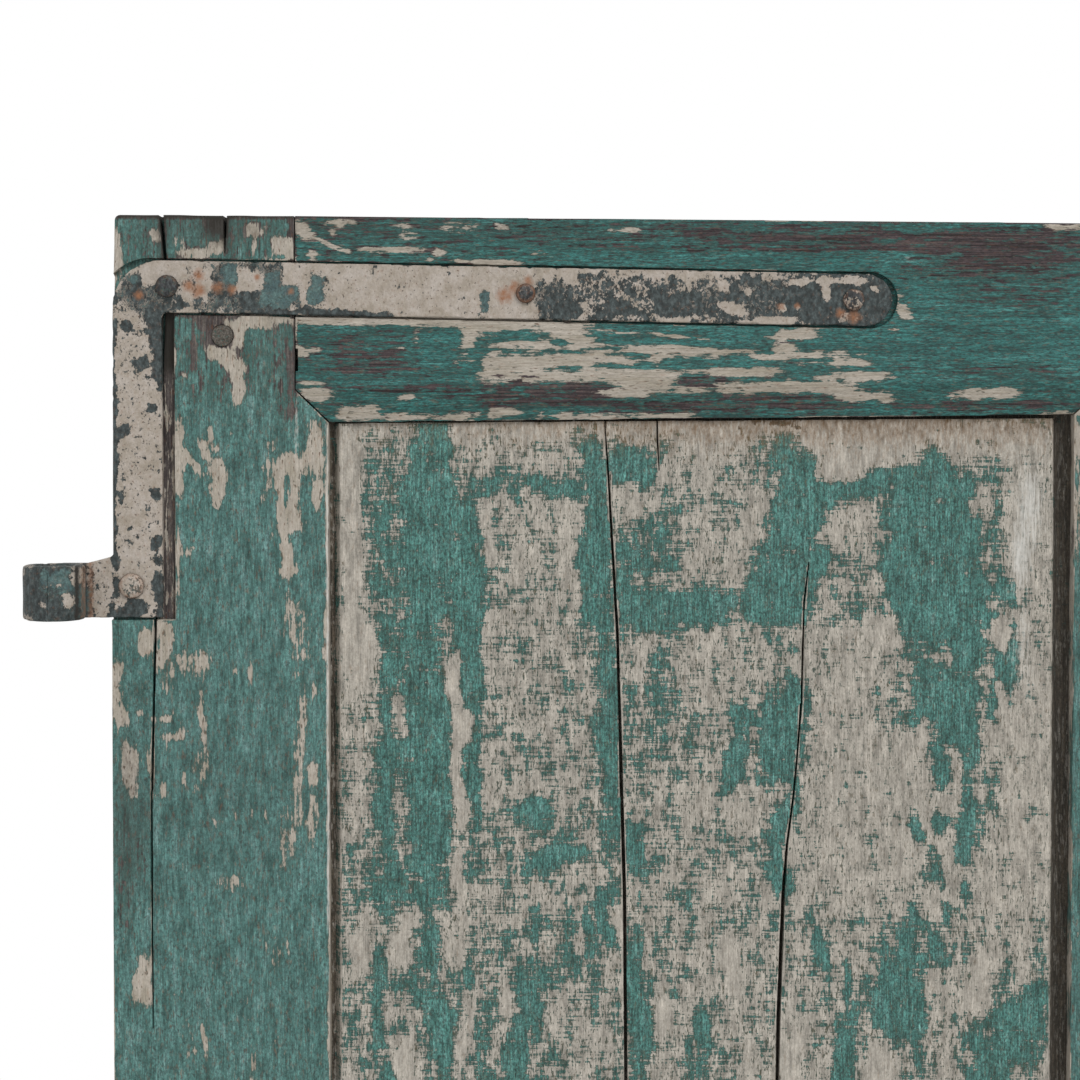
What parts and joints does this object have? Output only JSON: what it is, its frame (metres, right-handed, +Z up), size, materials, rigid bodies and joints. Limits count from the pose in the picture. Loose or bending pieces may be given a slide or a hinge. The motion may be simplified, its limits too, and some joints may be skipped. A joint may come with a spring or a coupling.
{
  "type": "weathered wooden door leaf",
  "caption": "Old panelled door leaf with worn paint, split boards, pegged tenons and forged corner straps whose rolled eyes hang on pintles.",
  "frame": {"origin": "on the hinge axis, at the underside of the lower eye, where it sits on its pintle", "axes": "+X from the hinge edge to the lock edge, +Y from the painted face to the back, +Z up along the hinge axis"},
  "size_m": [0.6581, 0.0665, 1.95],
  "materials": {
    "painted_wood": "teal paint over a pale undercoat, worn through to brown wood in streaks along the grain",
    "panel_wood": "teal paint scraped away over a pale undercoat, with dark pores",
    "peg_wood": "end grain, paint worn off",
    "strap_iron": "pitted forged iron under flaking cream and teal paint, with rust spots",
    "nail_iron": "dark forged heads with rust at the rim"
  },
  "bodies": {
    "root": {"hinge_stile": "painted_wood", "lock_stile": "painted_wood", "top_rail": "painted_wood", "lock_rail": "painted_wood", "bottom_rail": "painted_wood", "upper_panel_hinge_board": "panel_wood", "upper_panel_lock_board": "panel_wood", "lower_panel_hinge_board": "panel_wood", "lower_panel_lock_board": "panel_wood", "top_strap": "strap_iron", "top_strap_corner_nail": "nail_iron", "top_strap_middle_nail": "nail_iron", "top_strap_tip_nail": "nail_iron", "top_strap_leg_nail": "nail_iron", "bottom_strap": "strap_iron", "bottom_strap_corner_nail": "nail_iron", "bottom_strap_middle_nail": "nail_iron", "bottom_strap_tip_nail": "nail_iron", "bottom_strap_leg_nail": "nail_iron", "top_rail_hinge_peg_1": "peg_wood", "top_rail_lock_peg_1": "peg_wood", "lock_rail_hinge_peg_1": "peg_wood", "lock_rail_hinge_peg_2": "peg_wood", "lock_rail_lock_peg_1": "peg_wood", "lock_rail_lock_peg_2": "peg_wood", "bottom_rail_hinge_peg_1": "peg_wood", "bottom_rail_hinge_peg_2": "peg_wood", "bottom_rail_lock_peg_1": "peg_wood", "bottom_rail_lock_peg_2": "peg_wood"}
  },
  "joints": []
}
